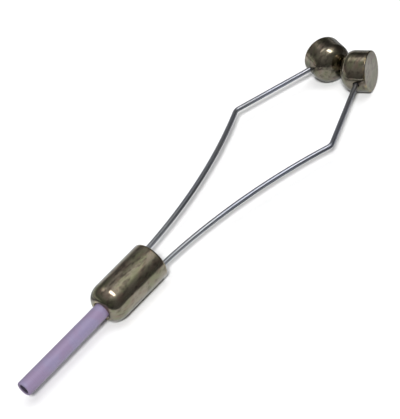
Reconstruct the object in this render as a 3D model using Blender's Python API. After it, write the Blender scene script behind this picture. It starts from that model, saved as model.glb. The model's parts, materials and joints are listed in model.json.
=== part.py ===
# Fly tying bobbin holder. A ceramic thread tube sits in a turned barrel, and two spring
# wire arms stand in the barrel's rear face. Each arm ends in a domed knob, and the knobs
# squeeze a thread spool between them.
# Metres, +Z up. The tube's tip points to -X and the knobs to +X, the arms lie in one
# level plane, and the tool rests on its knobs, with its barrel a hair above the table.

import math

import bmesh
import bpy
from mathutils import Vector

for old in list(bpy.data.objects):
    bpy.data.objects.remove(old, do_unlink=True)

MM = 0.001

# Barrel
BARREL_DIAMETER = 8.2 * MM
BARREL_LENGTH = 14.8 * MM
NOSE_DOME_LENGTH = 2.9 * MM      # along the axis, from the straight side to the nose ring
NOSE_RING_WIDTH = 0.25 * MM      # flat ring between the dome and the bore's chamfer
REAR_ROUNDING = 0.5 * MM
BORE_CHAMFER = 0.25 * MM         # at both ends of the bore

# Ceramic tube
TUBE_DIAMETER = 3.2 * MM
TUBE_BORE = 1.9 * MM
TUBE_REACH = 22.0 * MM           # how far it stands out of the nose
TUBE_SETBACK = 0.8 * MM          # its rear end lies this far inside the rear face
TUBE_LIP = 0.25 * MM             # rounding of both ends, inside and outside
TUBE_FIT = 0.05 * MM             # radial clearance in the bore

# Spring wire arms
WIRE_DIAMETER = 1.0 * MM
SOCKET_DEPTH = 7.0 * MM          # in the barrel's rear face
SOCKET_FIT = 0.05 * MM           # radial clearance in the barrel
END_CLEARANCE = 0.3 * MM         # between a wire's end and the bottom of its hole
ROOT_RUN = 3.0 * MM              # length over which the wire first turns outwards
ROOT_HEADING = math.radians(4.6)
ARM_REACH = 41.0 * MM            # rear face to elbow, along the tool's axis
ELBOW_RADIUS = 1.6 * MM          # to the wire's centreline
UPPER_LENGTH = 22.2 * MM         # elbow to the knob's axis
UPPER_HEADING = math.radians(21.5)    # inwards

# Knobs
KNOB_DIAMETER = 8.5 * MM
KNOB_STRAIGHT = 3.4 * MM         # length of the straight side
KNOB_DOME = 3.0 * MM             # height of the dome
KNOB_EDGE = 0.2 * MM             # rounding round the flat face
KNOB_WIRE_SETBACK = 2.15 * MM    # flat face to the wire's centreline
KNOB_HOLE_FIT = 0.25 * MM        # radial clearance, which the glue fills
KNOB_HOLE_DEPTH = 3.2 * MM
KNOB_GAP = 0.3 * MM              # between the two domes with no spool

# Flexing arms: each wire turns about one pivot, as the pseudo-rigid-body model of a
# cantilever spring has it, and is parted there by a narrow gap.
PIVOT_SHARE = 0.15               # of the free length, from the rear face
PIVOT_GAP = 0.3 * MM

# Smoothness
TURNED_SIDES = 72
TUBE_SIDES = 48
HOLE_SIDES = 24
WIRE_BEVEL = 8
DOME_STEPS = 14
EDGE_STEPS = 5
WIRE_STEP = 1.5 * MM             # longest stretch between two points of a bent wire
WIRE_TURN = math.radians(7)      # sharpest turn between two points
CUT_MARGIN = 1.0 * MM            # how far a cutter stands out of its hole

barrel_radius = BARREL_DIAMETER / 2
tube_radius = TUBE_DIAMETER / 2
bore_radius = tube_radius + TUBE_FIT
ring_radius = bore_radius + BORE_CHAMFER + NOSE_RING_WIDTH
wire_radius = WIRE_DIAMETER / 2
knob_radius = KNOB_DIAMETER / 2

# The sockets lie midway in the barrel's wall.
socket_offset = (bore_radius + barrel_radius) / 2


def quarter(cx, cr, ax, ar, start, end, steps):
    # Points (x, r) of an elliptic arc round (cx, cr) with half-axes ax and ar.
    turns = [start + (end - start) * i / steps for i in range(steps + 1)]
    return [(cx + ax * math.cos(t), cr + ar * math.sin(t)) for t in turns]


def material(name, color, roughness, metallic):
    made = bpy.data.materials.new(name)
    made.use_nodes = True
    shader = made.node_tree.nodes["Principled BSDF"]
    shader.inputs["Base Color"].default_value = (*color, 1.0)
    shader.inputs["Roughness"].default_value = roughness
    shader.inputs["Metallic"].default_value = metallic
    return made


def turned(name, profile, sides, closed):
    # Spins a profile of (x, r) points round the X axis. An open one starts and ends on it.
    bm = bmesh.new()
    verts = [bm.verts.new((x, 0, r)) for x, r in profile]
    edges = [bm.edges.new(pair) for pair in zip(verts, verts[1:])]
    if closed:
        edges.append(bm.edges.new((verts[-1], verts[0])))
    bmesh.ops.spin(bm, geom=verts + edges, cent=(0, 0, 0), axis=(1, 0, 0),
                   angle=math.tau, steps=sides, use_merge=True)
    bmesh.ops.remove_doubles(bm, verts=bm.verts, dist=0.001 * MM)
    bmesh.ops.recalc_face_normals(bm, faces=bm.faces)
    mesh = bpy.data.meshes.new(name)
    bm.to_mesh(mesh)
    bm.free()
    mesh.shade_smooth()
    mesh.set_sharp_from_angle(angle=math.radians(35))
    piece = bpy.data.objects.new(name, mesh)
    bpy.context.collection.objects.link(piece)
    return piece


def drill(piece, name, start, end, radius):
    # Cuts a round hole into piece along the line from start to end, in its own frame.
    start = Vector(start)
    end = Vector(end)
    bm = bmesh.new()
    bmesh.ops.create_cone(bm, cap_ends=True, segments=HOLE_SIDES, radius1=radius,
                          radius2=radius, depth=(end - start).length)
    mesh = bpy.data.meshes.new(name)
    bm.to_mesh(mesh)
    bm.free()
    cutter = bpy.data.objects.new(name, mesh)
    bpy.context.collection.objects.link(cutter)
    cutter.parent = piece
    cutter.location = (start + end) / 2
    cutter.rotation_euler = (end - start).to_track_quat("Z", "Y").to_euler()
    cutter.hide_render = True
    cutter.display_type = "WIRE"
    cut = piece.modifiers.new(name, "BOOLEAN")
    cut.operation = "DIFFERENCE"
    cut.object = cutter
    cut.solver = "EXACT"


def add_bend(points, heading, turn, length):
    # Adds an arc in the arms' plane to points, and gives the heading at its end.
    start = points[-1]
    steps = max(1, math.ceil(length / WIRE_STEP), math.ceil(abs(turn) / WIRE_TURN))
    for i in range(1, steps + 1):
        half_turn = turn * i / steps / 2
        chord = length * i / steps
        if abs(half_turn) > 1e-9:
            chord *= math.sin(half_turn) / half_turn
        toward = heading + half_turn
        points.append(start + chord * Vector((math.cos(toward), math.sin(toward))))
    return heading + turn


def arm_line():
    # The wire's centreline from the bottom of its socket to its end in the knob. The
    # frame is (along the tool's axis from the rear face, outwards from that axis).
    inward = Vector((math.cos(UPPER_HEADING), -math.sin(UPPER_HEADING)))
    dome_reach = math.hypot(knob_radius * math.sin(UPPER_HEADING),
                            KNOB_DOME * math.cos(UPPER_HEADING))
    dome_base = (KNOB_STRAIGHT - KNOB_WIRE_SETBACK) * math.cos(UPPER_HEADING)
    knob_offset = KNOB_GAP / 2 + dome_reach + dome_base
    elbow = Vector((ARM_REACH, knob_offset + UPPER_LENGTH * math.sin(UPPER_HEADING)))
    knob_center = elbow + UPPER_LENGTH * inward

    socket = [Vector((END_CLEARANCE - SOCKET_DEPTH, socket_offset))]
    free = [Vector((0, socket_offset))]
    root_heading = add_bend(free, 0, ROOT_HEADING, ROOT_RUN)

    # The bow leaves the root bend and reaches the elbow's bend, tangent to both.
    bow_heading = ROOT_HEADING
    for _ in range(30):
        cut_back = ELBOW_RADIUS * math.tan((bow_heading + UPPER_HEADING) / 2)
        bow_end = elbow - cut_back * Vector((math.cos(bow_heading), math.sin(bow_heading)))
        chord = bow_end - free[-1]
        bow_heading = 2 * math.atan2(chord.y, chord.x) - root_heading
    half_turn = (bow_heading - root_heading) / 2
    bow_length = chord.length * half_turn / math.sin(half_turn)
    heading = add_bend(free, root_heading, 2 * half_turn, bow_length)
    elbow_turn = heading + UPPER_HEADING
    add_bend(free, heading, -elbow_turn, ELBOW_RADIUS * elbow_turn)
    free.append(knob_center - knob_radius * inward)
    inner = [knob_center - (knob_radius - KNOB_HOLE_DEPTH + END_CLEARANCE) * inward]
    return socket, free, inner, knob_center


def point_along(points, distance):
    # The point at a distance along a line, and how many of its points come before it.
    for i in range(1, len(points)):
        step = (points[i] - points[i - 1]).length
        if distance <= step:
            return points[i - 1].lerp(points[i], distance / step), i
        distance -= step
    return points[-1].copy(), len(points)


def line_length(points):
    return sum((b - a).length for a, b in zip(points, points[1:]))


def wire(name, points, side, look, parent):
    # A round wire along points of the arms' plane, mirrored to its side of the tool.
    curve = bpy.data.curves.new(name, "CURVE")
    curve.dimensions = "3D"
    curve.bevel_depth = wire_radius
    curve.bevel_resolution = WIRE_BEVEL
    curve.use_fill_caps = True
    curve.render_resolution_u = 0
    spline = curve.splines.new("POLY")
    spline.points.add(len(points) - 1)
    for knot, point in zip(spline.points, points):
        knot.co = (point.x, side * point.y, 0, 1)
    spline.use_smooth = True
    curve.materials.append(look)
    piece = bpy.data.objects.new(name, curve)
    bpy.context.collection.objects.link(piece)
    piece.parent = parent
    return piece


def empty(name, location, parent=None):
    made = bpy.data.objects.new(name, None)
    bpy.context.collection.objects.link(made)
    made.location = location
    made.parent = parent
    return made


def build_barrel(look, parent):
    # Outline from the nose ring over the dome and the rounded rear edge, then the bore.
    nose = -BARREL_LENGTH
    wall = barrel_radius - bore_radius
    rounding = min(REAR_ROUNDING, wall / 4)
    profile = [(nose, ring_radius)]
    profile += quarter(nose + NOSE_DOME_LENGTH, ring_radius, NOSE_DOME_LENGTH,
                       barrel_radius - ring_radius, math.pi, math.pi / 2, DOME_STEPS)[1:]
    profile += quarter(-rounding, barrel_radius - rounding, rounding, rounding,
                       math.pi / 2, 0, EDGE_STEPS)
    profile += [(0, bore_radius + BORE_CHAMFER), (-BORE_CHAMFER, bore_radius)]
    profile += [(nose + BORE_CHAMFER, bore_radius), (nose, bore_radius + BORE_CHAMFER)]
    barrel = turned("barrel", profile, TURNED_SIDES, closed=True)
    for side_name, side in (("left", 1), ("right", -1)):
        offset = side * socket_offset
        drill(barrel, side_name + "_socket_cut", (-SOCKET_DEPTH, offset, 0),
              (CUT_MARGIN, offset, 0), wire_radius + SOCKET_FIT)
    barrel.data.materials.append(look)
    barrel.parent = parent
    return barrel


def build_tube(look, parent):
    # Tip and rear end have the same rounded lip, so that thread isn't cut.
    tip = -BARREL_LENGTH - TUBE_REACH
    rear = -TUBE_SETBACK
    inner = TUBE_BORE / 2
    lip = min(TUBE_LIP, (tube_radius - inner) / 2.5)
    profile = []
    for end, way in ((tip, -1), (rear, 1)):
        outer_lip = quarter(end - way * lip, tube_radius - lip, way * lip, lip,
                            math.pi / 2, 0, EDGE_STEPS)
        inner_lip = quarter(end - way * lip, inner + lip, way * lip, lip,
                            0, -math.pi / 2, EDGE_STEPS)
        profile += (outer_lip + inner_lip)[::way]
    tube = turned("ceramic_tube", profile, TUBE_SIDES, closed=True)
    tube.data.materials.append(look)
    tube.parent = parent
    return tube


def build_knob(name, side, center, look, parent):
    # Its own X axis runs from the flat face to the dome, with the wire's line at 0.
    flat = -KNOB_WIRE_SETBACK
    shoulder = flat + KNOB_STRAIGHT
    profile = [(flat, 0)]
    profile += quarter(flat + KNOB_EDGE, knob_radius - KNOB_EDGE, KNOB_EDGE, KNOB_EDGE,
                       math.pi, math.pi / 2, EDGE_STEPS)
    profile += quarter(shoulder, 0, KNOB_DOME, knob_radius, math.pi / 2, 0, DOME_STEPS)
    profile[-1] = (shoulder + KNOB_DOME, 0)
    knob = turned(name, profile, TURNED_SIDES, closed=False)
    drill(knob, name + "_hole_cut", (0, -side * (knob_radius - KNOB_HOLE_DEPTH), 0),
          (0, -side * (knob_radius + CUT_MARGIN), 0), wire_radius + KNOB_HOLE_FIT)
    knob.data.materials.append(look)
    knob.parent = parent
    knob.location = (center.x, side * center.y, 0)
    knob.rotation_euler.z = -side * (math.pi / 2 + UPPER_HEADING)
    return knob


def build_arm(side_name, side, wire_look, knob_look, parent):
    # One arm: the wire's root in the barrel, and the wire and knob beyond the pivot.
    socket, free, inner, knob_center = arm_line()
    along = PIVOT_SHARE * line_length(free)
    pivot, _ = point_along(free, along)
    root_end, before = point_along(free, along - PIVOT_GAP / 2)
    arm_start, after = point_along(free, along + PIVOT_GAP / 2)
    wire(side_name + "_arm_root", socket + free[:before] + [root_end], side,
         wire_look, parent)

    flex = empty(side_name + "_arm_flex", (pivot.x, side * pivot.y, 0), parent)
    arm_points = [point - pivot for point in [arm_start] + free[after:] + inner]
    wire(side_name + "_arm_wire", arm_points, side, wire_look, flex)
    build_knob(side_name + "_knob", side, knob_center - pivot, knob_look, flex)


def settle(frame):
    # Puts the origin at the middle of the tool's length, on the surface it rests on.
    bpy.context.view_layer.update()
    depsgraph = bpy.context.evaluated_depsgraph_get()
    corners = []
    for piece in bpy.context.scene.objects:
        if piece.type in {"MESH", "CURVE"} and not piece.hide_render:
            shape = piece.evaluated_get(depsgraph)
            mesh = shape.to_mesh()
            corners += [shape.matrix_world @ vert.co for vert in mesh.vertices]
            shape.to_mesh_clear()
    xs = [corner.x for corner in corners]
    frame.location = (-(min(xs) + max(xs)) / 2, 0, -min(corner.z for corner in corners))
    bpy.context.view_layer.update()


plated_brass = material("plated_brass", (0.21, 0.19, 0.15), 0.18, 1.0)
spring_steel = material("spring_steel", (0.33, 0.33, 0.37), 0.25, 1.0)
lilac_ceramic = material("lilac_ceramic", (0.36, 0.29, 0.45), 0.45, 0.0)

tool_frame = empty("tool_frame", (0, 0, 0))
build_barrel(plated_brass, tool_frame)
build_tube(lilac_ceramic, tool_frame)
for arm_name, arm_side in (("left", 1), ("right", -1)):
    build_arm(arm_name, arm_side, spring_steel, plated_brass, tool_frame)
settle(tool_frame)
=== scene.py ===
# Fly tying bobbin holder: a lilac ceramic thread tube in a plated barrel, and two sprung
# wire arms that carry a domed knob each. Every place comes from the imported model.
import json
import math

import bmesh
import bpy
from mathutils import Euler, Matrix, Vector

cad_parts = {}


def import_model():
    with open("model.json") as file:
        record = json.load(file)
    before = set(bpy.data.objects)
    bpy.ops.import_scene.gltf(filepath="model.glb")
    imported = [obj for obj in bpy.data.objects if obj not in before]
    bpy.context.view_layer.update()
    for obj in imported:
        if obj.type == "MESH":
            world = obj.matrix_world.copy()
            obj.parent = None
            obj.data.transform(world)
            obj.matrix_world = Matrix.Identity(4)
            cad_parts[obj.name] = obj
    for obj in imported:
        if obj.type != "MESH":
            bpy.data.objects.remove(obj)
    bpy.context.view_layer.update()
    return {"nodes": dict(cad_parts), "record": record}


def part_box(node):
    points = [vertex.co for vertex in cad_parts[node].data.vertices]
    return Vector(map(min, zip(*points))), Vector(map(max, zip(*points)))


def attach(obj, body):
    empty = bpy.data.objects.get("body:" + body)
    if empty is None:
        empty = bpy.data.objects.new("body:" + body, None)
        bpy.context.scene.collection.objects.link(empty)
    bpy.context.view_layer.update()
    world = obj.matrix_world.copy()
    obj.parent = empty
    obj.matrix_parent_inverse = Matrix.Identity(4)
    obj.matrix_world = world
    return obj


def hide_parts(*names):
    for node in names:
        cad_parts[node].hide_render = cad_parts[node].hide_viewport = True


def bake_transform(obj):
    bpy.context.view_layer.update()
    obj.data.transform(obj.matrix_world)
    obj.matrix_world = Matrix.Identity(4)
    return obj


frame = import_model()
scene = bpy.context.scene
mm = 0.001

record = frame["record"]
mounts = {mount["name"]: mount for mount in record["mounts"]}
barrelLow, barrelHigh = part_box("barrel")
tubeLow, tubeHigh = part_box("ceramic_tube")
rootLow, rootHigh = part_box("left_arm_root")
rearX = barrelHigh.x
noseX = barrelLow.x
axisZ = (barrelLow.z + barrelHigh.z) / 2
barrelRadius = (barrelHigh.z - barrelLow.z) / 2
tubeRadius = (tubeHigh.z - tubeLow.z) / 2
wireRadius = (rootHigh.z - rootLow.z) / 2
print("frame loaded:", ", ".join(sorted(frame["nodes"])))


def addNode(tree, kind, values=None, **settings):
    # A node with its settings and the fixed values of its inputs, by input name or number.
    node = tree.nodes.new(kind)
    for name, value in settings.items():
        setattr(node, name, value)
    for socket, value in (values or {}).items():
        if isinstance(value, bpy.types.NodeSocket):
            tree.links.new(value, node.inputs[socket])
        else:
            node.inputs[socket].default_value = value
    return node


def mathNode(tree, operation, first, second=0.0):
    return addNode(tree, "ShaderNodeMath", {0: first, 1: second},
                   operation=operation).outputs[0]


def tintMix(tree, amount, first, second):
    node = addNode(tree, "ShaderNodeMix", data_type="RGBA", blend_type="MIX")
    for socket, value in ((0, amount), (6, first), (7, second)):
        if isinstance(value, bpy.types.NodeSocket):
            tree.links.new(value, node.inputs[socket])
        else:
            node.inputs[socket].default_value = value
    return node.outputs[2]


def spread(tree, value, fromLow, fromHigh, toLow, toHigh):
    return addNode(tree, "ShaderNodeMapRange",
                   {0: value, 1: fromLow, 2: fromHigh, 3: toLow, 4: toHigh}).outputs[0]


def cloud(tree, place, scale, detail, roughness=0.5):
    return addNode(tree, "ShaderNodeTexNoise",
                   {"Vector": place, "Scale": scale, "Detail": detail,
                    "Roughness": roughness}).outputs[0]


def lines(tree, run, perMetre, detail=2.0):
    # Lines of uneven depth across a run that is given in metres.
    distance = mathNode(tree, "MULTIPLY", run, perMetre)
    return addNode(tree, "ShaderNodeTexNoise",
                   {"W": distance, "Scale": 1.0, "Detail": detail, "Roughness": 0.6},
                   noise_dimensions="1D").outputs[0]


def bumpNode(tree, strength, depth, height, normal=None):
    values = {"Strength": strength, "Distance": depth, "Height": height}
    if normal is not None:
        values["Normal"] = normal
    return addNode(tree, "ShaderNodeBump", values).outputs[0]


def startMaterial(name):
    made = bpy.data.materials.new(name)
    made.use_nodes = True
    tree = made.node_tree
    shader = tree.nodes["Principled BSDF"]
    place = addNode(tree, "ShaderNodeTexCoord").outputs["Object"]
    return made, tree, shader, place


def attribute(tree, name):
    return addNode(tree, "ShaderNodeAttribute", attribute_name=name).outputs["Fac"]


platedLook = {
    "plate": (0.300, 0.262, 0.200, 1.0),       # dark nickel with the brass warming it
    "plateOlive": (0.235, 0.232, 0.146, 1.0),
    "plateRusty": (0.272, 0.202, 0.156, 1.0),
    "plateDark": (0.125, 0.105, 0.080, 1.0),
    "smear": (0.45, 1.0, 1.0),                 # the tints are drawn out along the tool
    "cloudsPerMetre": 520.0,
    "cloudsFade": (0.42, 0.60),                # noise levels between which a tint sets in
    "stainsPerMetre": 760.0,
    "stainsFade": (0.50, 0.64),
    "stainsShare": 0.85,
    "specksPerMetre": 1250.0,
    "specksFade": (0.51, 0.62),
    "specksShare": 0.70,
    "groove": (0.12, 0.105, 0.08, 1.0),        # bottom of the lathe lines
    "grooveFade": (0.42, 0.75),
    "grooveShare": 0.18,
    "wornBrass": (0.46, 0.36, 0.19, 1.0),
    "wornPerMetre": 1500.0,                    # patches in which the rims have worn
    "wornFade": (0.46, 0.60),
    "wornShare": 0.75,
    "wornRough": 0.09,
    "rough": (0.10, 0.19),
    "roughFade": (0.30, 0.70),
    "lineRough": (-0.015, 0.03),
    "lineRoughFade": (0.3, 0.8),
    "linesPerMetre": 9000.0,
    "lineDepth": 0.0000035,
    "lineStrength": 0.22,
    "broadLines": 7,                           # fine lines to a broad one
    "broadDepth": 1.6,
    "wavesPerMetre": 620.0,                    # polishing has left the surface faintly wavy
    "waveDepth": 0.000070,
    "waveStrength": 0.6,
}

wireLook = {
    "steel": (0.325, 0.330, 0.348, 1.0),
    "steelDark": (0.235, 0.240, 0.260, 1.0),
    "steelBlue": (0.27, 0.29, 0.38, 1.0),
    "rough": (0.27, 0.38),
    "roughFade": (0.3, 0.7),
    "drawLines": 46.0,                         # lines around the wire
    "drawRuns": 90.0,                          # how often they change along a metre
    "drawFade": (0.40, 0.68),
    "lineDepth": 0.000003,
    "lineStrength": 0.35,
    "bluePerMetre": 95.0,
    "blueFade": (0.40, 0.66),
    "blueShare": 0.45,
}

tubeLook = {
    "lilac": (0.228, 0.178, 0.278, 1.0),
    "lilacPale": (0.224, 0.194, 0.302, 1.0),
    "lilacDeep": (0.156, 0.120, 0.212, 1.0),
    # painted shade that darkens the inside of the bore
    "borePaintedShadeTone": (0.045, 0.038, 0.055, 1.0),
    "driftPerMetre": 420.0,                    # slow change from lilac to pale
    "driftFade": (0.42, 0.60),
    "specksPerMetre": 5200.0,
    "speckSize": 0.22,
    "speckShare": 0.55,
    "linesPerMetre": 5200.0,                   # grinding rings
    "lineFade": (0.45, 0.75),
    "lineShare": 0.22,
    "lineDepth": 0.000004,
    "lineStrength": 0.35,
    "grainPerMetre": 3600.0,
    "grainDepth": 0.8,
    "rough": (0.34, 0.46),
    "roughPerMetre": 700.0,
    "roughFade": (0.3, 0.7),
    "lineRough": (-0.03, 0.04),
    "shine": 0.42,
}


def platedBrass(name):
    # Polished turned brass under dark nickel: fine lathe lines, clouded tint, worn rims.
    look = platedLook
    made, tree, shader, place = startMaterial(name)
    run = attribute(tree, "latheRun")
    rim = attribute(tree, "rimWear")
    drawn = addNode(tree, "ShaderNodeMapping",
                    {"Vector": place, "Scale": look["smear"]}).outputs[0]
    clouds = cloud(tree, drawn, look["cloudsPerMetre"], 3.0)
    stains = cloud(tree, drawn, look["stainsPerMetre"], 4.0, 0.6)
    specks = cloud(tree, drawn, look["specksPerMetre"], 3.0, 0.6)
    grain = lines(tree, run, look["linesPerMetre"])
    broad = lines(tree, run, look["linesPerMetre"] / look["broadLines"], 1.0)

    color = tintMix(tree, spread(tree, clouds, *look["cloudsFade"], 0.0, 1.0),
                    look["plate"], look["plateOlive"])
    for marks, fade, share, tint in ((stains, "stainsFade", "stainsShare", "plateRusty"),
                                     (specks, "specksFade", "specksShare", "plateDark"),
                                     (grain, "grooveFade", "grooveShare", "groove")):
        color = tintMix(tree, spread(tree, marks, *look[fade], 0.0, look[share]),
                        color, look[tint])
    patchy = cloud(tree, place, look["wornPerMetre"], 3.0, 0.65)
    wear = mathNode(tree, "MULTIPLY", rim,
                    spread(tree, patchy, *look["wornFade"], 0.0, 1.0))
    color = tintMix(tree, mathNode(tree, "MULTIPLY", wear, look["wornShare"]),
                    color, look["wornBrass"])
    tree.links.new(color, shader.inputs["Base Color"])

    rough = spread(tree, clouds, *look["roughFade"], *look["rough"])
    rough = mathNode(tree, "ADD", rough,
                     spread(tree, grain, *look["lineRoughFade"], *look["lineRough"]))
    rough = mathNode(tree, "ADD", rough,
                     mathNode(tree, "MULTIPLY", wear, look["wornRough"]))
    tree.links.new(rough, shader.inputs["Roughness"])

    height = mathNode(tree, "ADD", grain,
                      mathNode(tree, "MULTIPLY", broad, look["broadDepth"]))
    waves = cloud(tree, drawn, look["wavesPerMetre"], 2.0)
    wavy = bumpNode(tree, look["waveStrength"], look["waveDepth"], waves)
    fine = bumpNode(tree, look["lineStrength"], look["lineDepth"], height, wavy)
    tree.links.new(fine, shader.inputs["Normal"])
    shader.inputs["Metallic"].default_value = 1.0
    return made


def drawnSteel(name):
    # Bright spring wire: lines along its length from the drawing die, and faint blueing.
    look = wireLook
    made, tree, shader, place = startMaterial(name)
    length = attribute(tree, "wireLength")
    around = attribute(tree, "wireAround")
    swing = mathNode(tree, "MULTIPLY", around, math.tau)
    ring = look["drawLines"] / math.tau
    drawn = addNode(tree, "ShaderNodeCombineXYZ", {
        0: mathNode(tree, "MULTIPLY", length, look["drawRuns"]),
        1: mathNode(tree, "MULTIPLY", mathNode(tree, "COSINE", swing), ring),
        2: mathNode(tree, "MULTIPLY", mathNode(tree, "SINE", swing), ring)}).outputs[0]
    streaks = cloud(tree, drawn, 1.0, 3.0, 0.6)
    blueing = cloud(tree, place, look["bluePerMetre"], 2.0)
    color = tintMix(tree, spread(tree, streaks, *look["drawFade"], 0.0, 1.0),
                    look["steel"], look["steelDark"])
    color = tintMix(tree, spread(tree, blueing, *look["blueFade"], 0.0, look["blueShare"]),
                    color, look["steelBlue"])
    tree.links.new(color, shader.inputs["Base Color"])
    tree.links.new(spread(tree, streaks, *look["roughFade"], *look["rough"]),
                   shader.inputs["Roughness"])
    tree.links.new(bumpNode(tree, look["lineStrength"], look["lineDepth"], streaks),
                   shader.inputs["Normal"])
    shader.inputs["Metallic"].default_value = 1.0
    return made


def lilacCeramic(name):
    # Ground and tumbled ceramic: fine speckle, faint grinding rings, satin sheen, and
    # painted shade inside the bore.
    look = tubeLook
    made, tree, shader, place = startMaterial(name)
    run = attribute(tree, "latheRun")
    rings = lines(tree, run, look["linesPerMetre"])
    drift = cloud(tree, place, look["driftPerMetre"], 3.0)
    speck = addNode(tree, "ShaderNodeTexVoronoi",
                    {"Vector": place, "Scale": look["specksPerMetre"]}).outputs["Distance"]
    color = tintMix(tree, spread(tree, drift, *look["driftFade"], 0.0, 1.0),
                    look["lilac"], look["lilacPale"])
    speckShade = spread(tree, speck, 0.0, look["speckSize"], look["speckShare"], 0.0)
    color = tintMix(tree, speckShade, color, look["lilacDeep"])
    color = tintMix(tree, spread(tree, rings, *look["lineFade"], 0.0, look["lineShare"]),
                    color, look["lilacDeep"])
    # Painted shade: the bore's inside is darkened to stand in for the shade down the bore.
    color = tintMix(tree, attribute(tree, "borePaintedShade"), color, look["borePaintedShadeTone"])
    tree.links.new(color, shader.inputs["Base Color"])

    rough = spread(tree, cloud(tree, place, look["roughPerMetre"], 2.0),
                   *look["roughFade"], *look["rough"])
    rough = mathNode(tree, "ADD", rough,
                     spread(tree, rings, *look["roughFade"], *look["lineRough"]))
    tree.links.new(rough, shader.inputs["Roughness"])

    grain = cloud(tree, place, look["grainPerMetre"], 3.0)
    height = mathNode(tree, "ADD", rings,
                      mathNode(tree, "MULTIPLY", grain, look["grainDepth"]))
    tree.links.new(bumpNode(tree, look["lineStrength"], look["lineDepth"], height),
                   shader.inputs["Normal"])
    shader.inputs["Specular IOR Level"].default_value = look["shine"]
    return made


platedFinish = platedBrass("dark nickel on turned brass")
steelFinish = drawnSteel("drawn spring steel")
ceramicFinish = lilacCeramic("lilac ceramic")
print("finishes ready")


turning = {
    "mergeGap": 0.0003 * mm,          # points closer than this are one
    "spinGap": 0.0005 * mm,
    "turnedEdge": math.radians(28),   # sharper edges than this stay crisp
    "wireEdge": math.radians(50),
    "chamferLead": 0.03 * mm,         # how far a mouth's edge is set in
    "cutterProud": 0.6 * mm,
    "holeTip": 0.15 * mm,
    "holeTipShare": 0.6,
}


def bow(cx, cr, ax, ar, start, end, steps):
    # Points (x, r) of an elliptic arc round (cx, cr) with half-axes ax and ar.
    turns = [start + (end - start) * i / steps for i in range(steps + 1)]
    return [(cx + ax * math.cos(t), cr + ar * math.sin(t)) for t in turns]


def stretch(start, end, steps):
    # Points strictly between two profile points.
    return [(start[0] + (end[0] - start[0]) * i / steps,
             start[1] + (end[1] - start[1]) * i / steps) for i in range(1, steps)]


def lathe(name, profile, sides, closed):
    bm = bmesh.new()
    verts = [bm.verts.new((x, 0, r)) for x, r in profile]
    edges = [bm.edges.new(pair) for pair in zip(verts, verts[1:])]
    if closed:
        edges.append(bm.edges.new((verts[-1], verts[0])))
    bmesh.ops.spin(bm, geom=verts + edges, cent=(0, 0, 0), axis=(1, 0, 0),
                   angle=math.tau, steps=sides, use_merge=True)
    bmesh.ops.remove_doubles(bm, verts=bm.verts, dist=turning["spinGap"])
    bmesh.ops.recalc_face_normals(bm, faces=bm.faces)
    mesh = bpy.data.meshes.new(name)
    bm.to_mesh(mesh)
    bm.free()
    piece = bpy.data.objects.new(name, mesh)
    scene.collection.objects.link(piece)
    return piece


def cleanMesh(mesh, crispEdge):
    # Merges what coincides, turns the faces outwards and smooths all but crisp edges.
    bm = bmesh.new()
    bm.from_mesh(mesh)
    bmesh.ops.remove_doubles(bm, verts=bm.verts, dist=turning["mergeGap"])
    bmesh.ops.recalc_face_normals(bm, faces=bm.faces)
    bm.to_mesh(mesh)
    bm.free()
    mesh.shade_smooth()
    mesh.set_sharp_from_angle(angle=crispEdge)


def boreHole(piece, start, way, depth, radius, flare, sides=48):
    # A blind hole with a countersunk mouth, from start along way. The cutter stands proud
    # of the mouth.
    proud = turning["cutterProud"]
    profile = [(-proud, 0), (-proud, radius + flare + proud), (0, radius + flare),
               (flare, radius), (depth - turning["holeTip"], radius),
               (depth, radius * turning["holeTipShare"]), (depth, 0)]
    cutter = lathe("cutter", profile, sides, closed=False)
    turn = Vector(way).to_track_quat("X", "Z").to_matrix().to_4x4()
    cutter.data.transform(Matrix.Translation(Vector(start)) @ turn)
    cut = piece.modifiers.new("hole", "BOOLEAN")
    cut.operation = "DIFFERENCE"
    cut.solver = "EXACT"
    cut.object = cutter
    shape = piece.evaluated_get(bpy.context.evaluated_depsgraph_get())
    mesh = bpy.data.meshes.new_from_object(shape)
    piece.modifiers.clear()
    old = piece.data
    piece.data = mesh
    mesh.name = piece.name
    bpy.data.meshes.remove(old)
    bpy.data.objects.remove(cutter, do_unlink=True)


def markTurning(mesh, profile, rims, reach):
    # Two numbers for every point: its run along the profile, in metres, and how near it
    # is to a worn rim, from 0 to 1.
    steps = [math.dist(a, b) for a, b in zip(profile, profile[1:])]
    runs = [sum(steps[:i]) for i in range(len(profile))]
    runMark = mesh.attributes.new("latheRun", "FLOAT", "POINT")
    rimMark = mesh.attributes.new("rimWear", "FLOAT", "POINT")
    for vert in mesh.vertices:
        here = (vert.co.x, math.hypot(vert.co.y, vert.co.z))
        near = min(range(len(profile)), key=lambda i: math.dist(here, profile[i]))
        run = runs[near]
        if near + 1 < len(profile) and steps[near] > 0:
            ax, ar = profile[near]
            bx, br = profile[near + 1]
            along = ((here[0] - ax) * (bx - ax) + (here[1] - ar) * (br - ar)) / steps[near]
            run += max(0.0, min(steps[near], along))
        runMark.data[vert.index].value = run
        closest = min(math.dist(here, rim) for rim in rims)
        rimMark.data[vert.index].value = max(0.0, 1.0 - closest / reach)


def finishPiece(piece, place, finish, body, node):
    # Puts the mesh in its place, closes and smooths it, and hands it to its body.
    mesh = piece.data
    mesh.transform(place)
    cleanMesh(mesh, turning["turnedEdge"])
    mesh.materials.append(finish)
    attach(piece, body)
    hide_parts(node)
    print("made", piece.name, len(mesh.polygons), "faces")


barrelMake = {
    "domeLength": 2.9 * mm,
    "noseRing": 0.25 * mm,
    "rearRounding": 0.5 * mm,
    "boreChamfer": 0.25 * mm,
    "tubeFit": 0.05 * mm,
    "socketFit": 0.05 * mm,
    "socketDepth": 7.0 * mm,
    "socketFlare": 0.12 * mm,
    "rimReach": 0.45 * mm,      # how far from a rim the plating is worn
    "sides": 160,
    "domeSteps": 40,
    "sideSteps": 40,
    "rearSteps": 12,
    "boreSteps": 8,
}


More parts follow.
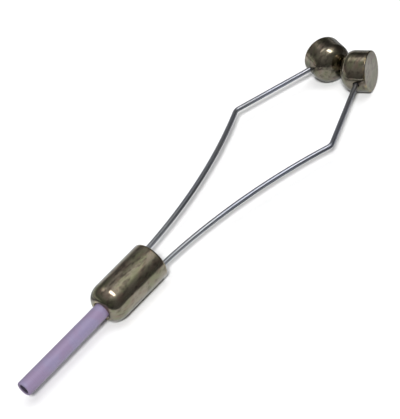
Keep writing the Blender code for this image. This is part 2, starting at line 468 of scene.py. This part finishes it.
def makeBarrel():
    make = barrelMake
    bore = tubeRadius + make["tubeFit"]
    mouth = bore + make["boreChamfer"]
    ring = mouth + make["noseRing"]
    rounding = make["rearRounding"]
    shoulder = noseX + make["domeLength"]
    dome = bow(shoulder, ring, make["domeLength"], barrelRadius - ring,
               math.pi, math.pi / 2, make["domeSteps"])
    rear = bow(rearX - rounding, barrelRadius - rounding, rounding, rounding,
               math.pi / 2, 0, make["rearSteps"])
    profile = [(noseX, mouth + turning["chamferLead"])] + dome
    profile += stretch(dome[-1], rear[0], make["sideSteps"]) + rear
    rearMouth = (rearX, mouth)
    profile += stretch(rear[-1], rearMouth, make["rearSteps"]) + [rearMouth]
    profile += [(rearX - make["boreChamfer"], bore)]
    profile += stretch(profile[-1], (noseX + make["boreChamfer"], bore), make["boreSteps"])
    profile += [(noseX + make["boreChamfer"], bore),
                (noseX + turning["chamferLead"], mouth)]
    barrel = lathe("turnedBarrel", profile, make["sides"], closed=True)
    for side in (1, -1):
        boreHole(barrel, (rearX, side * (rootLow.y + wireRadius), 0), (-1, 0, 0),
                 make["socketDepth"], wireRadius + make["socketFit"],
                 make["socketFlare"])
    third = make["rearSteps"] // 3
    rims = [rear[third], rear[2 * third], dome[0], (noseX, mouth)]
    markTurning(barrel.data, profile, rims, make["rimReach"])
    finishPiece(barrel, Matrix.Translation((0, 0, axisZ)), platedFinish, "barrel",
                "barrel")


makeBarrel()


tubeMake = {
    "bore": 1.9 * mm,
    "lip": 0.25 * mm,
    # The bore's inside is darkened with painted shade; this sets how far it reaches.
    "borePaintedShade": 0.5,      # how far the dark of the bore climbs, in lips
    "sides": 112,
    "lipSteps": 10,
    "outsideSteps": 60,
    "boreSteps": 24,
}


def makeTube():
    make = tubeMake
    inner = make["bore"] / 2
    lip = make["lip"]
    ends = []
    for end, way in ((tubeLow.x, -1), (tubeHigh.x, 1)):
        outside = bow(end - way * lip, tubeRadius - lip, way * lip, lip,
                      math.pi / 2, 0, make["lipSteps"])
        inside = bow(end - way * lip, inner + lip, way * lip, lip,
                     0, -math.pi / 2, make["lipSteps"])
        ends.append((outside + inside)[::way])
    profile = ends[0] + stretch(ends[0][-1], ends[1][0], make["outsideSteps"]) + ends[1]
    profile += stretch(ends[1][-1], ends[0][0], make["boreSteps"])
    tube = lathe("ceramicThreadTube", profile, make["sides"], closed=True)
    markTurning(tube.data, profile, [(tubeLow.x, inner + lip)], lip)
    # Marks the bore's inside for painted shade, fading out across the inner lip.
    shade = tube.data.attributes.new("borePaintedShade", "FLOAT", "POINT")
    for vert in tube.data.vertices:
        away = math.hypot(vert.co.y, vert.co.z) - inner
        shade.data[vert.index].value = max(0.0, 1.0 - away / (make["borePaintedShade"] * lip))
    finishPiece(tube, Matrix.Translation((0, 0, axisZ)), ceramicFinish, "barrel",
                "ceramic_tube")


makeTube()


knobMake = {
    "straight": 3.4 * mm,
    "dome": 3.0 * mm,
    "edge": 0.2 * mm,
    "setback": 2.15 * mm,      # flat face to the wire's line
    "holeFit": 0.10 * mm,
    "holeDepth": 3.2 * mm,
    "holeFlare": 0.1 * mm,
    "rimReach": 0.6 * mm,
    "sides": 160,
    "faceSteps": 24,
    "edgeSteps": 8,
    "sideSteps": 14,
    "domeSteps": 48,
}


def knobPlace(side):
    # The knob's own X runs from the flat face to the dome, its Y out of the wire's hole.
    mount = mounts["left_knob_face" if side > 0 else "right_knob_face"]
    outward = Vector(mount["axis"]).normalized()
    center = Vector(mount["pos_m"]) - outward * knobMake["setback"]
    alongWire = Vector((outward.y * side, -outward.x * side, 0))
    turn = Matrix((-outward, -alongWire, (-outward).cross(-alongWire))).transposed()
    return center, alongWire, Matrix.Translation(center) @ turn.to_4x4()


def makeKnob(name, side, body, node):
    make = knobMake
    low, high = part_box(node)
    radius = (high.z - low.z) / 2
    edge = make["edge"]
    flat = -make["setback"]
    shoulder = flat + make["straight"]
    rim = bow(flat + edge, radius - edge, edge, edge, math.pi, math.pi / 2,
              make["edgeSteps"])
    dome = bow(shoulder, 0, make["dome"], radius, math.pi / 2, 0, make["domeSteps"])
    dome[-1] = (shoulder + make["dome"], 0)      # exactly on the axis, so the tip closes
    profile = [(flat, 0)] + stretch((flat, 0), rim[0], make["faceSteps"]) + rim
    profile += stretch(rim[-1], dome[0], make["sideSteps"]) + dome
    knob = lathe(name, profile, make["sides"], closed=False)
    boreHole(knob, (0, radius - turning["chamferLead"], 0), (0, -1, 0),
             make["holeDepth"], wireRadius + make["holeFit"], make["holeFlare"])
    markTurning(knob.data, profile, [rim[make["edgeSteps"] // 2]], make["rimReach"])
    place = knobPlace(side)[2]
    finishPiece(knob, place, platedFinish, body, node)


makeKnob("leftDomedKnob", 1, "left_arm", "left_knob")
makeKnob("rightDomedKnob", -1, "right_arm", "right_knob")


armMake = {
    "rootRun": 3.0 * mm,
    "rootHeading": math.radians(4.6),
    "elbowRadius": 1.6 * mm,
    "upperRun": 22.2 * mm,
    "endClearance": 0.3 * mm,
    "spacing": 0.3 * mm,
    "sides": 28,
    "bendShare": 2.3,      # the flexing stretch, in times the root's distance to the pivot
}


def armRoute(side):
    # Route of the wire as (point, heading) pairs, joined by a straight line or one arc.
    make = armMake
    center, alongWire, _ = knobPlace(side)
    center = Vector((center.x, side * center.y))
    inward = Vector((alongWire.x, side * alongWire.y)).normalized()
    upperHeading = math.atan2(-inward.y, inward.x)
    knobLow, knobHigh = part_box("left_knob")
    knobRadius = (knobHigh.z - knobLow.z) / 2
    elbow = center - make["upperRun"] * inward
    offset = rootLow.y + wireRadius
    rootHeading = make["rootHeading"]
    chord = make["rootRun"] * math.sin(rootHeading / 2) / (rootHeading / 2)
    rootEnd = Vector((rearX + chord * math.cos(rootHeading / 2),
                      offset + chord * math.sin(rootHeading / 2)))
    heading = rootHeading
    for _ in range(30):      # settles the heading at which the bow meets the elbow
        cutBack = make["elbowRadius"] * math.tan((heading + upperHeading) / 2)
        bowEnd = elbow - cutBack * Vector((math.cos(heading), math.sin(heading)))
        span = bowEnd - rootEnd
        heading = 2 * math.atan2(span.y, span.x) - rootHeading
    upperStart = elbow + cutBack * inward
    wireEnd = center - (knobRadius - knobMake["holeDepth"] + make["endClearance"]) * inward
    return [(Vector((rootLow.x, offset)), 0.0), (Vector((rearX, offset)), 0.0),
            (rootEnd, rootHeading), (bowEnd, heading), (upperStart, -upperHeading),
            (wireEnd, -upperHeading)]


def routeCurve(name, route, side):
    # A Bezier curve through the route. Its handles make each stretch straight or round.
    curve = bpy.data.curves.new(name, "CURVE")
    curve.dimensions = "3D"
    curve.resolution_u = 64
    spline = curve.splines.new("BEZIER")
    spline.bezier_points.add(len(route) - 1)
    for knot in spline.bezier_points:
        knot.handle_left_type = "FREE"
        knot.handle_right_type = "FREE"

    def world(point):
        return Vector((point.x, side * point.y, axisZ))

    for knot, (point, _) in zip(spline.bezier_points, route):
        knot.co = world(point)
        knot.handle_left = knot.co
        knot.handle_right = knot.co
    for i in range(len(route) - 1):
        (start, startHeading), (end, endHeading) = route[i], route[i + 1]
        turn = abs(endHeading - startHeading)
        length = (end - start).length
        reach = length / 3
        if turn > 1e-5:
            reach = 4 / 3 * math.tan(turn / 4) * length / (2 * math.sin(turn / 2))
        away = Vector((math.cos(startHeading), math.sin(startHeading)))
        back = Vector((math.cos(endHeading), math.sin(endHeading)))
        spline.bezier_points[i].handle_right = world(start + away * reach)
        spline.bezier_points[i + 1].handle_left = world(end - back * reach)
    made = bpy.data.objects.new(name, curve)
    scene.collection.objects.link(made)
    return made


def wireTree():
    # Geometry Nodes: sweeps a round wire along the curve and marks its length and turn.
    tree = bpy.data.node_groups.new("sprungWireSweep", "GeometryNodeTree")
    face = tree.interface
    face.new_socket("Geometry", in_out="INPUT", socket_type="NodeSocketGeometry")
    for name, kind in (("Wire Radius", "NodeSocketFloat"),
                       ("Ring Spacing", "NodeSocketFloat"),
                       ("Sides", "NodeSocketInt"),
                       ("Finish", "NodeSocketMaterial")):
        face.new_socket(name, in_out="INPUT", socket_type=kind)
    face.new_socket("Geometry", in_out="OUTPUT", socket_type="NodeSocketGeometry")
    given = addNode(tree, "NodeGroupInput").outputs
    even = addNode(tree, "GeometryNodeResampleCurve",
                   {"Curve": given["Geometry"], "Length": given["Ring Spacing"]},
                   mode="LENGTH")
    ring = addNode(tree, "GeometryNodeCurvePrimitiveCircle",
                   {"Resolution": given["Sides"], "Radius": given["Wire Radius"]},
                   mode="RADIUS")
    along = addNode(tree, "GeometryNodeSplineParameter").outputs

    def marked(curve, markName, measure):
        return addNode(tree, "GeometryNodeStoreNamedAttribute",
                       {"Geometry": curve, "Name": markName, "Value": along[measure]},
                       data_type="FLOAT", domain="POINT").outputs[0]

    sweep = addNode(tree, "GeometryNodeCurveToMesh",
                    {"Curve": marked(even.outputs[0], "wireLength", "Length"),
                     "Profile Curve": marked(ring.outputs[0], "wireAround", "Factor"),
                     "Fill Caps": True})
    whole = addNode(tree, "GeometryNodeRealizeInstances", {0: sweep.outputs[0]})
    dressed = addNode(tree, "GeometryNodeSetMaterial",
                      {"Geometry": whole.outputs[0], "Material": given["Finish"]})
    out = addNode(tree, "NodeGroupOutput")
    tree.links.new(dressed.outputs[0], out.inputs[0])
    return tree


def makeArm(name, sideName, side, sweepTree):
    # Sweeps one wire and makes it a plain mesh in place of the model's root and wire.
    make = armMake
    route = routeCurve(name + "Route", armRoute(side), side)
    sweep = route.modifiers.new("sweep", "NODES")
    sweep.node_group = sweepTree
    given = {"Wire Radius": wireRadius, "Ring Spacing": make["spacing"],
             "Sides": make["sides"], "Finish": steelFinish}
    for item in sweepTree.interface.items_tree:
        if item.in_out == "INPUT" and item.name in given:
            sweep[item.identifier] = given[item.name]
    route.update_tag()
    bpy.context.view_layer.update()
    shape = route.evaluated_get(bpy.context.evaluated_depsgraph_get())
    mesh = bpy.data.meshes.new_from_object(shape)
    route.modifiers.clear()
    bpy.data.objects.remove(route, do_unlink=True)
    wire = bpy.data.objects.new(name, mesh)
    mesh.name = name
    scene.collection.objects.link(wire)
    cleanMesh(mesh, turning["wireEdge"])
    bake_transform(wire)
    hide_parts(sideName + "_arm_root", sideName + "_arm_wire")
    print("made", name, len(mesh.polygons), "faces")


sweepTree = wireTree()
makeArm("leftSprungWire", "left", 1, sweepTree)
makeArm("rightSprungWire", "right", -1, sweepTree)


studio = {
    "floorReach": 3.0,
    "floorTone": (0.88, 0.88, 0.88, 1.0),
    "floorRough": 0.9,
    # The next entries paint the reflection light of a sheet that only the metal sees.
    "paintedReflectionTone": (0.85, 0.88, 0.92, 1.0),    # what the metal sees of the floor
    "paintedReflectionFar": 0.12,
    "mirroredRise": 0.01 * mm,
    # Painted pools of light for the reflections: middle, half-axes, brightness.
    "paintedReflectionPools": (((-0.026, -0.006), (0.024, 0.019), 0.88),    # bright parts: middle,
                      ((0.042, -0.004), (0.018, 0.016), 0.66),     # half-axes, brightness
                      ((0.006, -0.017), (0.016, 0.006), 0.70),
                      ((0.030, 0.075), (0.090, 0.055), 0.85)),
    "paintedReflectionFade": (0.80, 1.40),               # where a spot fades, in half-axes
    "skyOnMatte": 0.12,                         # how much of the sky lights floor and tube
}

sky = {
    "climb": ((0, 0.20), (0.26, 0.27), (0.50, 0.34),    # level by height, 0 to 1
              (0.71, 0.52), (0.87, 0.62), (1.0, 0.72)),
    "nearFar": (-0.6, 0.5, 0.74, 0.76),         # across the tool: from, to, and the levels
    "endwise": (0.46, 0.62, 1.0, 0.38),         # darker past the knobs' end
    "glowWay": (0.20, -0.33, 0.92),             # broad glow overhead
    "glow": 0.62,
    "glowFall": ((0, 1.0), (16, 1.0), (22, 0.85),       # share left by angle, in degrees
                 (28, 0.4), (36, 0.16), (48, 0.0)),
    "lamp": 8.0,                                # long lamp along the tool
    "lampLean": 109.0,                          # its middle's turn round X, in degrees
    "lampHalf": 21.0,
    "lampEdge": 0.6,                            # share of its half at full brightness
    "lampAcross": 0.185,
    "lampWidth": 0.15,
    "lampWidthEdge": 0.5,
    "window": 1.5,                              # small window on the far side
    "windowWay": (0.130, 0.540, 0.830),
    "windowFade": (17, 5),                      # from nothing to full, in degrees
    "backdrop": 0.62,                           # pale sweep low on the far side
    "backdropHeight": (0.28, 0.12),
    "backdropAway": (0.30, 0.60),
}

lights = {
    "key": {"way": (-0.426, -0.491, 0.760), "softness": 11, "strength": 3.20},
    "top": {"way": (0.10, -0.02, 0.99), "softness": 50, "strength": 1.22},
}


def levelSheet(name, height, finish):
    # A wide level square, which isn't part of the tool.
    reach = studio["floorReach"]
    corners = [(-reach, -reach, height), (reach, -reach, height),
               (reach, reach, height), (-reach, reach, height)]
    mesh = bpy.data.meshes.new(name)
    mesh.from_pydata(corners, [], [(0, 1, 2, 3)])
    mesh.materials.append(finish)
    sheet = bpy.data.objects.new(name, mesh)
    scene.collection.objects.link(sheet)
    return sheet


def makeFloor():
    made, _, shader, _ = startMaterial("pale floor")
    shader.inputs["Base Color"].default_value = studio["floorTone"]
    shader.inputs["Roughness"].default_value = studio["floorRough"]
    shader.inputs["Specular IOR Level"].default_value = 0.0
    levelSheet("paleFloor", 0, made).visible_glossy = False


def makePaintedReflectionFloor():
    # What polished metal sees of the floor, as painted reflection: pools of light painted
    # bright close to the tool, dim further off, on a sheet seen only in reflections.
    made, tree, shader, place = startMaterial("floor with painted reflection light")
    level = studio["paintedReflectionFar"]
    for (middleX, middleY), (halfX, halfY), bright in studio["paintedReflectionPools"]:
        sized = addNode(tree, "ShaderNodeMapping",
                        {"Vector": place, "Scale": (1 / halfX, 1 / halfY, 0),
                         "Location": (-middleX / halfX, -middleY / halfY, 0)})
        away = addNode(tree, "ShaderNodeVectorMath", {0: sized.outputs[0]},
                       operation="LENGTH").outputs["Value"]
        # Painted pool of light: bright near its middle, fading outwards.
        paintedPool = spread(tree, away, *studio["paintedReflectionFade"], bright, 0.0)
        level = mathNode(tree, "MAXIMUM", level, paintedPool)
    tone = tintMix(tree, level, (0.0, 0.0, 0.0, 1.0), studio["paintedReflectionTone"])
    tree.links.new(tone, shader.inputs["Base Color"])
    shader.inputs["Roughness"].default_value = studio["floorRough"]
    shader.inputs["Specular IOR Level"].default_value = 0.0
    floor = levelSheet("paintedReflectionFloor", studio["mirroredRise"], made)
    floor.visible_camera = False
    floor.visible_diffuse = False
    floor.visible_shadow = False


def makeSky():
    # A dim room that brightens upwards, with a broad glow overhead, a long lamp, a window
    # and a pale backdrop. It shows in the metal and lights matte surfaces only a little.
    world = bpy.data.worlds.new("studio")
    scene.world = world
    world.use_nodes = True
    tree = world.node_tree
    tree.nodes.clear()
    way = addNode(tree, "ShaderNodeTexCoord").outputs["Generated"]
    parts = addNode(tree, "ShaderNodeSeparateXYZ", {0: way}).outputs

    def product(first, second):
        return mathNode(tree, "MULTIPLY", first, second)

    def offset(value, middle):
        return mathNode(tree, "ABSOLUTE", mathNode(tree, "SUBTRACT", value, middle))

    def angleTo(name):
        facing = addNode(tree, "ShaderNodeVectorMath",
                         {0: way, 1: Vector(sky[name]).normalized()},
                         operation="DOT_PRODUCT").outputs["Value"]
        return mathNode(tree, "ARCCOSINE", facing)

    def levels(value, stops):
        # A smooth curve through (place, level) stops.
        node = addNode(tree, "ShaderNodeValToRGB", {"Fac": value})
        ramp = node.color_ramp
        ramp.interpolation = "B_SPLINE"
        while len(ramp.elements) < len(stops):
            ramp.elements.new(0.5)
        for element, (position, level) in zip(ramp.elements, stops):
            element.position = position
            element.color = (level, level, level, 1.0)
        return node.outputs[0]

    room = product(levels(parts["Z"], sky["climb"]),
                   product(spread(tree, parts["Y"], *sky["nearFar"]),
                           spread(tree, parts["X"], *sky["endwise"])))
    fromGlow = mathNode(tree, "DIVIDE", angleTo("glowWay"), math.pi)
    fall = [(angle / 180, left) for angle, left in sky["glowFall"]]
    glow = product(levels(fromGlow, fall), sky["glow"])
    lean = mathNode(tree, "ARCTAN2", parts["Z"], parts["Y"])
    half = math.radians(sky["lampHalf"])
    width = sky["lampWidth"]
    lamp = product(spread(tree, offset(lean, math.radians(sky["lampLean"])),
                          half, half * sky["lampEdge"], 0.0, 1.0),
                   spread(tree, offset(parts["X"], sky["lampAcross"]),
                          width, width * sky["lampWidthEdge"], 0.0, sky["lamp"]))
    outer, inner = (math.radians(angle) for angle in sky["windowFade"])
    window = spread(tree, angleTo("windowWay"), outer, inner, 0.0, sky["window"])
    backdrop = product(spread(tree, parts["Z"], *sky["backdropHeight"], 0.0, 1.0),
                       spread(tree, parts["Y"], *sky["backdropAway"], 0.0, sky["backdrop"]))
    level = room
    for part in (glow, lamp, window, backdrop):
        level = mathNode(tree, "ADD", level, part)
    onMatte = addNode(tree, "ShaderNodeLightPath").outputs["Is Diffuse Ray"]
    level = product(level, spread(tree, onMatte, 0.0, 1.0, 1.0, studio["skyOnMatte"]))
    background = addNode(tree, "ShaderNodeBackground", {"Strength": level})
    out = addNode(tree, "ShaderNodeOutputWorld")
    tree.links.new(background.outputs[0], out.inputs[0])


def makeLight(name):
    # Throws a soft shadow. It is kept out of reflections, as a flagged lamp would be.
    light = bpy.data.lights.new(name + "Light", "SUN")
    light.angle = math.radians(lights[name]["softness"])
    light.energy = lights[name]["strength"]
    lamp = bpy.data.objects.new(name + "Light", light)
    scene.collection.objects.link(lamp)
    way = Vector(lights[name]["way"]).normalized()
    lamp.rotation_euler = way.to_track_quat("Z", "Y").to_euler()
    lamp.visible_glossy = False


shot = {
    "fromRear": (-0.16083, -0.24260, 0.26303),    # from the rear face, on the barrel's axis
    "turn": (47.013, 14.739, -49.245),            # in degrees
    "lens": 175.27,
    "sensor": 36.0,
    "clip": (0.01, 50),
}


def makeCamera():
    camera = bpy.data.cameras.new("camera")
    camera.lens = shot["lens"]
    camera.sensor_width = shot["sensor"]
    camera.clip_start, camera.clip_end = shot["clip"]
    eye = bpy.data.objects.new("camera", camera)
    scene.collection.objects.link(eye)
    eye.location = Vector((rearX, 0, axisZ)) + Vector(shot["fromRear"])
    eye.rotation_euler = Euler([math.radians(a) for a in shot["turn"]])
    scene.camera = eye


makeFloor()
makePaintedReflectionFloor()
makeSky()
for lightName in lights:
    makeLight(lightName)
makeCamera()
scene.view_settings.view_transform = "Standard"
print("studio ready")
